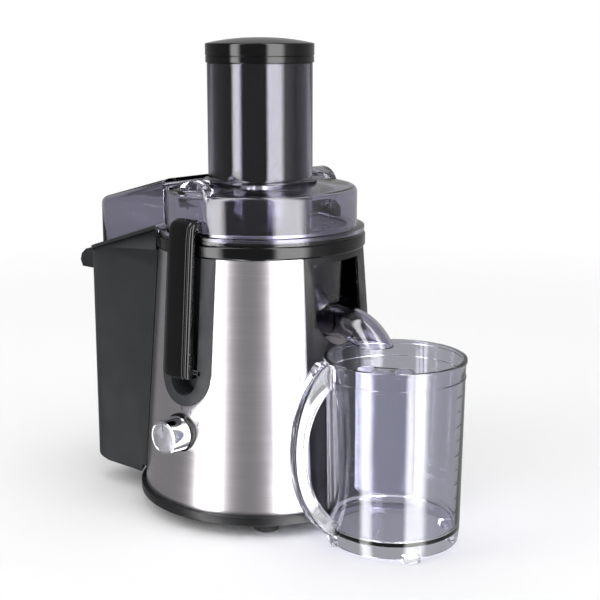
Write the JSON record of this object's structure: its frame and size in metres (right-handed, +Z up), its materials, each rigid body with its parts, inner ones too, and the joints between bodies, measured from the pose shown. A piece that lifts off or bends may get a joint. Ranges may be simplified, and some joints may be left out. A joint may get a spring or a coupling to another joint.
{
  "type": "centrifugal juicer",
  "caption": "Centrifugal juicer with a brushed steel body, wide feed tube, two locking arms, pulp container and a clear juice jug",
  "frame": {"origin": "on the motor's axis, at the level the rubber feet stand on", "axes": "+Z up along the motor's axis, +X towards the spout and the jug, -X towards the pulp container, -Y towards the speed knob at the front"},
  "size_m": [0.394, 0.2308, 0.407],
  "materials": {
    "black_matte": "satin black ABS",
    "black_gloss": "glossy black ABS",
    "grey_matte": "matt dark grey ABS",
    "steel_brushed": "stainless steel brushed round the body",
    "knob_chrome": "chrome plated with a satin face",
    "rubber_black": "moulded rubber",
    "smoke_clear": "smoke tinted transparent SAN plastic",
    "jug_clear": "clear SAN plastic",
    "smoke_dark": "dark smoke tinted transparent plastic",
    "container_black": "satin black ABS",
    "steel_plain": "plain turned steel",
    "core_steel": "varnished electrical steel laminations",
    "copper": "enamelled copper",
    "aluminium_cast": "die cast aluminium",
    "nylon_white": "natural nylon",
    "board_green": "fibreglass circuit board",
    "capacitor_blue": "shrink sleeved capacitor"
  },
  "bodies": {
    "root": {"back_arm_pin": "steel_plain", "back_surround": "grey_matte", "base_screws": "steel_plain", "base_tray": "black_matte", "brush_holder_left": "nylon_white", "brush_holder_right": "nylon_white", "capacitor": "capacitor_blue", "circuit_board": "board_green", "cord_inlet": "black_matte", "feed_tube": "smoke_clear", "field_coils": "copper", "front_arm_pin": "steel_plain", "front_surround": "grey_matte", "interlock_switch": "nylon_white", "juice_bowl": "smoke_clear", "knob_ring": "black_gloss", "lid": "smoke_clear", "lower_bearing": "steel_plain", "lower_bracket": "aluminium_cast", "motor_bolts": "steel_plain", "motor_deck": "nylon_white", "motor_housing": "black_matte", "motor_mount_1": "rubber_black", "motor_mount_2": "rubber_black", "motor_mount_3": "rubber_black", "motor_stator": "core_steel", "rotary_switch": "nylon_white", "rubber_foot_1": "rubber_black", "rubber_foot_2": "rubber_black", "rubber_foot_3": "rubber_black", "rubber_foot_4": "rubber_black", "shaft_seal": "rubber_black", "steel_cover": "steel_brushed", "top_collar": "black_gloss", "upper_bearing": "steel_plain", "upper_bracket": "aluminium_cast"},
    "front_arm": {"front_arm": "black_gloss"},
    "back_arm": {"back_arm": "black_gloss"},
    "speed_knob": {"speed_knob": "knob_chrome", "switch_shaft": "steel_plain"},
    "rotor": {"motor_shaft": "steel_plain", "armature": "core_steel", "commutator": "copper", "cooling_fan": "nylon_white", "drive_coupling": "nylon_white", "filter_cone": "steel_brushed", "basket_rim": "steel_brushed", "grater_disc": "steel_brushed"},
    "pusher": {"pusher_body": "smoke_dark", "pusher_cap": "black_gloss"},
    "pulp_container": {"pulp_container": "container_black"},
    "jug": {"jug_body": "jug_clear", "jug_handle": "jug_clear"},
    "froth_separator": {"froth_separator": "jug_clear"}
  },
  "joints": [
    {"name": "front_arm_hinge", "type": "hinge", "parent": "root", "child": "front_arm", "pos_m": [0, -0.09405, 0.134], "axis": [1, 0, 0], "range_deg": [0, 75]},
    {"name": "back_arm_hinge", "type": "hinge", "parent": "root", "child": "back_arm", "pos_m": [0, 0.09405, 0.134], "axis": [-1, 0, 0], "range_deg": [0, 75]},
    {"name": "speed_knob_turn", "type": "hinge", "parent": "root", "child": "speed_knob", "pos_m": [0, -0.10305, 0.081], "axis": [0, 1, 0], "range_deg": [0, 60]},
    {"name": "motor_spin", "type": "hinge", "parent": "root", "child": "rotor", "pos_m": [0, 0, 0.1], "axis": [0, 0, 1], "continuous": true},
    {"name": "pusher_slide", "type": "slide", "parent": "root", "child": "pusher", "axis": [0, 0, 1], "range_m": [0, 0.15]},
    {"name": "pulp_container_slide", "type": "slide", "parent": "root", "child": "pulp_container", "axis": [-0.956, 0, -0.2933], "range_m": [0, 0.05]},
    {"name": "jug_slide", "type": "slide", "parent": "root", "child": "jug", "axis": [1, 0, 0], "range_m": [0, 0.07]},
    {"name": "froth_separator_lift", "type": "slide", "parent": "jug", "child": "froth_separator", "axis": [0, 0, 1], "range_m": [0, 0.1]}
  ]
}
